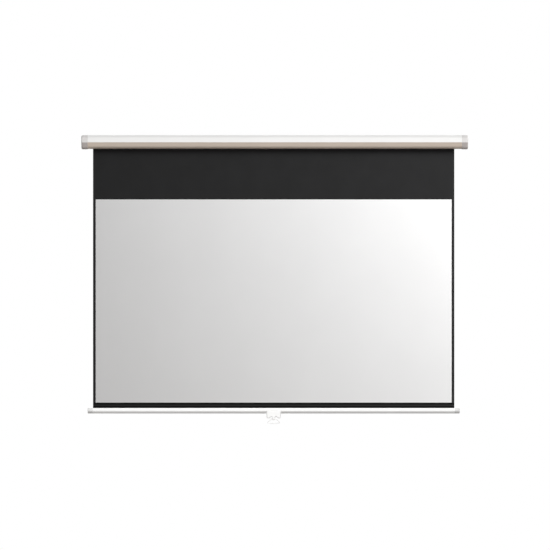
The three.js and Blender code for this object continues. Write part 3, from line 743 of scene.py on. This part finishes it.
def bracket_window(side):
    """The block that opens the cap's back for the bracket's flange"""
    bm = bmesh.new()
    bmesh.ops.create_cube(bm, size=1)
    size = (WINDOW_END - WINDOW_START, 2 * WINDOW_DEPTH, 2 * WINDOW_HALF)
    bmesh.ops.scale(bm, vec=size, verts=bm.verts)
    bmesh.ops.translate(bm, vec=(side * (WINDOW_END + WINDOW_START) / 2, 0, 0), verts=bm.verts)
    return to_object("window", bm)


for side, word in ((-1, "left"), (1, "right")):
    bm = round_ended(cap_corners, side * CAP_START, side * CAP_END, CAP_ROUND)
    cap = to_object(f"cap_{word}", bm, cap_plastic)
    bm = round_ended(
        inset(cap_corners, CAP_WALL), side * (CAP_START - OVERRUN), side * (CAP_END - CAP_WALL),
        POCKET_ROUND)
    pocket = to_object("pocket", bm)
    posts = []
    cutters = [pocket]
    for i, (y, z) in enumerate(WELLS):
        place = (y * MM, z * MM)
        past = (side * (CAP_END + OVERRUN), *place)
        posts.append(
            drum(f"post_{i}", (side * WELL_START, *place), past, WELL_RADIUS + WELL_WALL))
        cutters.append(drum(f"well_{i}", (side * WELL_FLOOR, *place), past, WELL_RADIUS))
    x, y = side * HANG_PLACE[0], HANG_PLACE[1]
    cutters.append(drum("hanging", (x, y, HANG_FROM), (x, y, HANG_TO), HANG_RADIUS))
    cutters.append(bracket_window(side))
    carve(pocket, posts)
    carve(cap, cutters)
    mark_painted_shade(cap)
    shown(cap, "case", [f"end_cap_{word}"], case_group)

# %% [markdown]
# The cloth is one sheet from the roller to the hem. Its face is white inside the picture and
# black round it, and its back is black all over. A grid is cut along the picture's edges, its
# faces take their colour from where they are, and solidify gives it the thickness of cloth.
# A hanging sheet is never a true plane, so it gets a bow of about a millimetre.

# %% Hanging cloth
CLOTH_LOW, CLOTH_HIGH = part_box("screen_fabric")
INK_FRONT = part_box("black_masking")[0].y
PICTURE_HALF = 0.9925
PICTURE_HEIGHT = 1.133
PICTURE_TOP = HEM_TOP + PICTURE_HEIGHT
CLOTH_SHIFT = -0.006
FACING_FRONT = -0.5
BOW = 0.0009
BOW_POWER = 6

cloth_size = CLOTH_HIGH - CLOTH_LOW
cloth_middle = (CLOTH_HIGH + CLOTH_LOW) / 2
bm = bmesh.new()
bmesh.ops.create_grid(bm, x_segments=96, y_segments=70, size=0.5)
bmesh.ops.scale(bm, vec=(cloth_size.x, cloth_size.z, 1), verts=bm.verts)
upright = Matrix.Rotation(math.pi / 2, 3, "X")
bmesh.ops.rotate(bm, cent=(0, 0, 0), matrix=upright, verts=bm.verts)
bmesh.ops.translate(bm, vec=(cloth_middle.x, INK_FRONT, cloth_middle.z), verts=bm.verts)
for point, normal in (
    ((CLOTH_SHIFT - PICTURE_HALF, 0, 0), (1, 0, 0)),
    ((CLOTH_SHIFT + PICTURE_HALF, 0, 0), (1, 0, 0)),
    ((0, 0, PICTURE_TOP), (0, 0, 1)),
):
    bmesh.ops.bisect_plane(
        bm, geom=bm.verts[:] + bm.edges[:] + bm.faces[:], plane_co=point, plane_no=normal)
for face in bm.faces:
    middle = face.calc_center_median()
    in_picture = abs(middle.x - CLOTH_SHIFT) < PICTURE_HALF and middle.z < PICTURE_TOP
    face.material_index = 0 if in_picture else 1
bmesh.ops.solidify(bm, geom=bm.faces[:], thickness=CLOTH_HIGH.y - INK_FRONT)
bmesh.ops.recalc_face_normals(bm, faces=bm.faces)
for face in bm.faces:
    if face.normal.y > FACING_FRONT:
        face.material_index = 1
for vert in bm.verts:
    down = (CLOTH_HIGH.z - vert.co.z) / cloth_size.z
    across = (vert.co.x - CLOTH_SHIFT) / (cloth_size.x / 2)
    vert.co.y += BOW * math.sin(math.pi * down) ** 2 * across ** BOW_POWER
cloth = to_object("hanging_cloth", bm, viewing_cloth)
cloth.data.materials.append(black_cloth)
shown(cloth, "case", ["screen_fabric", "black_masking"], cloth_group)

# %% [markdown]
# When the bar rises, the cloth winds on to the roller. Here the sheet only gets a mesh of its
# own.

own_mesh(cloth)

# %% [markdown]
# One and a half turns of cloth stay on the roller when the screen is down. A spiral is an
# edge that is extruded again and again, each time turned a little further and moved a little
# out from the axis.

# %% Turns on the roller
ROLL_TURNS = 1.5
ROLL_STEPS = 54
ROLL_INNER = 21.3 * MM
ROLL_OUTER = 21.6 * MM
ROLL_CLOTH = 0.3 * MM
ROLL_AXIS = Vector((0, -38 * MM, 2 * MM))

roll_low, roll_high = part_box("fabric_roll")
bm = bmesh.new()
first = ROLL_AXIS + Vector((0, ROLL_INNER, 0))
edge = bm.edges.new([bm.verts.new((x, first.y, first.z)) for x in (roll_low.x, roll_high.x)])
growth = (ROLL_OUTER / ROLL_INNER) ** (1 / ROLL_STEPS)
turn = Matrix.Rotation(-2 * math.pi * ROLL_TURNS / ROLL_STEPS, 3, "X")
to_axis = Matrix.Translation(-ROLL_AXIS)
for step in range(ROLL_STEPS):
    made = bmesh.ops.extrude_edge_only(bm, edges=[edge])["geom"]
    verts = [g for g in made if isinstance(g, bmesh.types.BMVert)]
    edges = [g for g in made if isinstance(g, bmesh.types.BMEdge)]
    edge = next(e for e in edges if all(v in verts for v in e.verts))
    bmesh.ops.rotate(bm, cent=ROLL_AXIS, matrix=turn, verts=verts)
    bmesh.ops.scale(bm, vec=(1, growth, growth), space=to_axis, verts=verts)
give_wall(bm, ROLL_CLOTH)
roll = to_object("rolled_cloth", bm, black_cloth)
shown(roll, "roller", ["fabric_roll"], cloth_group)

# %% [markdown]
# The weight bar is a slim extrusion, narrow at the top where the hem slides in, widest below
# its middle and drawn in again to a round foot. It is made as the case was, as an open strip
# with a wall. Its section is written round its own middle and then set down in its place.

# %% Weight bar
BAR_DEPTH = -15.4 * MM
BAR_HEIGHT = -1498.2 * MM
BAR_SHIFT = -6 * MM
BAR_HALF = 1010 * MM
BAR_WALL = 1.6 * MM


def moved_to(corners, y, z):
    """A section's corners, set down round another middle"""
    return [(a + y, b + z, r) for a, b, r in corners]


bar_section = in_metres([
    (-5, 15.2, 3), (-10.5, -3, 12), (-4, -15.2, 4), (4, -15.2, 4), (10.5, -3, 12), (5, 15.2, 3)])
bar_strip = in_metres([(-1.7, 15.2, 0)]) + bar_section + in_metres([(1.7, 15.2, 0)])
bar_strip = moved_to(bar_strip, BAR_DEPTH, BAR_HEIGHT)
bm = strip(bar_strip, BAR_SHIFT - BAR_HALF, BAR_SHIFT + BAR_HALF)
give_wall(bm, BAR_WALL)
bar = to_object("weight_bar_extrusion", bm, bar_paint)
shown(bar, "weight_bar", ["bottom_bar"], bar_group)

# %% [markdown]
# A moulded plug closes each end of the bar, with its outer end rounded over.

# %% Bar plugs
PLUG_LENGTH = 27 * MM
PLUG_GAP = 0.3 * MM
PLUG_ROUND = 3 * MM

plug_section = moved_to(bar_section, BAR_DEPTH, BAR_HEIGHT)
for side, word in ((-1, "left"), (1, "right")):
    start = BAR_SHIFT + side * (BAR_HALF + PLUG_GAP)
    end = BAR_SHIFT + side * (BAR_HALF + PLUG_LENGTH)
    bm = round_ended(plug_section, start, end, PLUG_ROUND)
    plug = to_object(f"plug_{word}", bm, plug_plastic)
    shown(plug, "weight_bar", [f"bar_plug_{word}"], bar_group)

# %% [markdown]
# The hem is a loop of black cloth round the weight rod. It goes down into the bar, round the
# rod and up again, as one strip of two plies.

# %% Hem
HEM_PLY = 0.6 * MM
HEM_SEGMENTS = 6

hem_loop = in_metres([
    (-0.7, 45.45, 0), (-0.7, 2, 1), (-5, 2, 4.2), (-5, -8, 4.9),
    (5, -8, 4.9), (5, 2, 4.2), (0.7, 2, 1), (0.7, 45.45, 0)])
hem_low, hem_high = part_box("screen_hem")
bm = strip(moved_to(hem_loop, BAR_DEPTH, BAR_HEIGHT), hem_low.x, hem_high.x, HEM_SEGMENTS)
give_wall(bm, HEM_PLY)
hem = to_object("hem", bm, hem_cloth)
shown(hem, "weight_bar", ["screen_hem"], cloth_group)

# %% [markdown]
# A soft edge takes two steps: find the outline of a flat end, and bevel it.

# %% Soft edges


def rim(bm, x):
    """The outline of the flat end at x"""
    ends = [f for f in bm.faces if all(abs(v.co.x - x) < CLOSE for v in f.verts)]
    return list({e for f in ends for e in f.edges})


def soften(bm, edges, size, segments):
    """Rounds the given edges over"""
    bmesh.ops.bevel(
        bm, geom=edges, offset=size, offset_type="OFFSET", segments=segments, profile=0.5,
        affect="EDGES", material=-1)


# %% [markdown]
# The handle is one moulding: a flat-fronted block with two lobes and a tongue, let in round
# the lower part of the bar. It is drawn lying along X like every block here, and then turned
# so that its face looks forward. Its edges are rounded over so that they catch a soft
# outline. The bar's own section, grown by the clearance, cuts its seat, and drums cut the
# ring's eye and the screws' pockets.

# %% Handle
FIT = 0.3 * MM
SADDLE_RISE = 4
GRIP_HALF = 40.5
GRIP_DEPTH = 13 * MM
GRIP_SEGMENTS = 8
GRIP_SOFTNESS = 5.6 * MM
SOFT_SEGMENTS = 6
EYE_HEIGHT = -45.2 * MM
EYE_RADIUS = 2.5 * MM
EYE_REACH = Vector((30 * MM, 0, 0))
POCKET_PLACE = Vector((28 * MM, 11.9 * MM, -3 * MM))
POCKET_RADIUS = 3.3 * MM
POCKET_SIDES = 32

half_grip = [
    (GRIP_HALF, SADDLE_RISE, 6), (39, -41.7, 6.5), (25.5, -41.7, 6.5),
    (12, -32.7, 3.2), (9, -35.7, 1.5), (9, -52.2, 6)]
grip_outline = half_grip + [(-x, z, r) for x, z, r in reversed(half_grip)]
bm = block(in_metres(grip_outline), -GRIP_DEPTH, GRIP_DEPTH, GRIP_SEGMENTS)
soften(bm, rim(bm, -GRIP_DEPTH) + rim(bm, GRIP_DEPTH), GRIP_SOFTNESS, SOFT_SEGMENTS)
to_front = Matrix.Rotation(-math.pi / 2, 3, "Z")
bar_middle = Vector((BAR_SHIFT, BAR_DEPTH, BAR_HEIGHT))
bmesh.ops.rotate(bm, cent=(0, 0, 0), matrix=to_front, verts=bm.verts)
bmesh.ops.translate(bm, vec=bar_middle, verts=bm.verts)
handle = to_object("handle", bm, handle_plastic)

eye = bar_middle + Vector((0, 0, EYE_HEIGHT))
seat_section = moved_to(inset(bar_section, -FIT), BAR_DEPTH, BAR_HEIGHT)
seat_reach = 2 * GRIP_HALF * MM
cutters = [
    to_object("seat", block(seat_section, BAR_SHIFT - seat_reach, BAR_SHIFT + seat_reach)),
    drum("eye", eye - EYE_REACH, eye + EYE_REACH, EYE_RADIUS)]
for side in (-1, 1):
    bottom = bar_middle + POCKET_PLACE * Vector((side, 1, 1))
    mouth = bottom + Vector((0, GRIP_DEPTH, 0))
    cutters.append(drum("screw_pocket", bottom, mouth, POCKET_RADIUS, POCKET_SIDES))
carve(handle, cutters)
shown(handle, "weight_bar", ["handle_grip"], handle_group)

# %% [markdown]
# The pull ring is a loop of round rod, nearly a triangle, whose short straight side turns in
# the tongue's eye. A flat face with rounded corners gives its route, and a curve with a round
# bevel its body.

# %% Pull ring
RING_WIRE = 4.4 * MM
RING_SEGMENTS = 8
WIRE_ROUNDNESS = 5
ring_corners = in_metres([(-12.5, 0, 4.4), (-41, -25, 7), (41, -25, 7), (12.5, 0, 4.4)])

bm = block(ring_corners, -MM, 0, RING_SEGMENTS)
route = next(f for f in bm.faces if all(abs(v.co.x) < CLOSE for v in f.verts))
points = [(v.co.y + eye.x, eye.y, v.co.z + eye.z) for v in route.verts]
bm.free()
ring_curve = bpy.data.curves.new("pull_loop", "CURVE")
ring_curve.dimensions = "3D"
ring_curve.bevel_depth = RING_WIRE / 2
ring_curve.bevel_resolution = WIRE_ROUNDNESS
line = ring_curve.splines.new("POLY")
line.points.add(len(points) - 1)
for point, place in zip(line.points, points):
    point.co = (*place, 1)
line.use_cyclic_u = True
bent = bpy.data.objects.new("bent", ring_curve)
scene.collection.objects.link(bent)
ring_mesh = bake(bent)
bpy.data.objects.remove(bent)
ring = bpy.data.objects.new("pull_loop", ring_mesh)
scene.collection.objects.link(ring)
ring_mesh.materials.clear()
ring_mesh.materials.append(handle_plastic)
shown(ring, "ring", ["pull_ring"], handle_group)

# %% [markdown]
# What is left are the hidden works: brackets, roller, ratchet, spring and screws. Their CAD
# meshes already have the right shape, so they only take a finish by name.

# %% Finishes of the hidden works
by_finish = {
    zinc_plate: ["end_bracket_left", "end_bracket_right", "pawl_cover"],
    screw_steel: ["cap_screw_left_1", "cap_screw_left_2", "cap_screw_left_3", "cap_screw_right_1",
                  "cap_screw_right_2", "cap_screw_right_3", "handle_screw_1", "handle_screw_2"],
    tube_aluminium: ["roller_tube"],
    nylon: ["bearing_bush", "idle_plug", "drive_plug", "spring_anchor_fixed",
            "spring_anchor_turning"],
    turned_steel: ["gudgeon_pin", "pawl_pin_upper", "pawl_pin_lower", "pawl_upper", "pawl_lower",
                   "ratchet_wheel", "spear_shaft", "retaining_clip", "torsion_spring",
                   "weight_rod"],
}
on_the_bar = {"handle_screw_1", "handle_screw_2", "weight_rod"}
for material, names in by_finish.items():
    for name in names:
        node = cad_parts[name]
        node.data.materials.clear()
        node.data.materials.append(material)
        group = bar_group if name in on_the_bar else case_group
        group.objects.link(node)
    print(material.name, "covers", len(names), "nodes")

# %% [markdown]
# The picture uses Blender's Standard view transform.

# %% View transform
scene.view_settings.view_transform = "Standard"
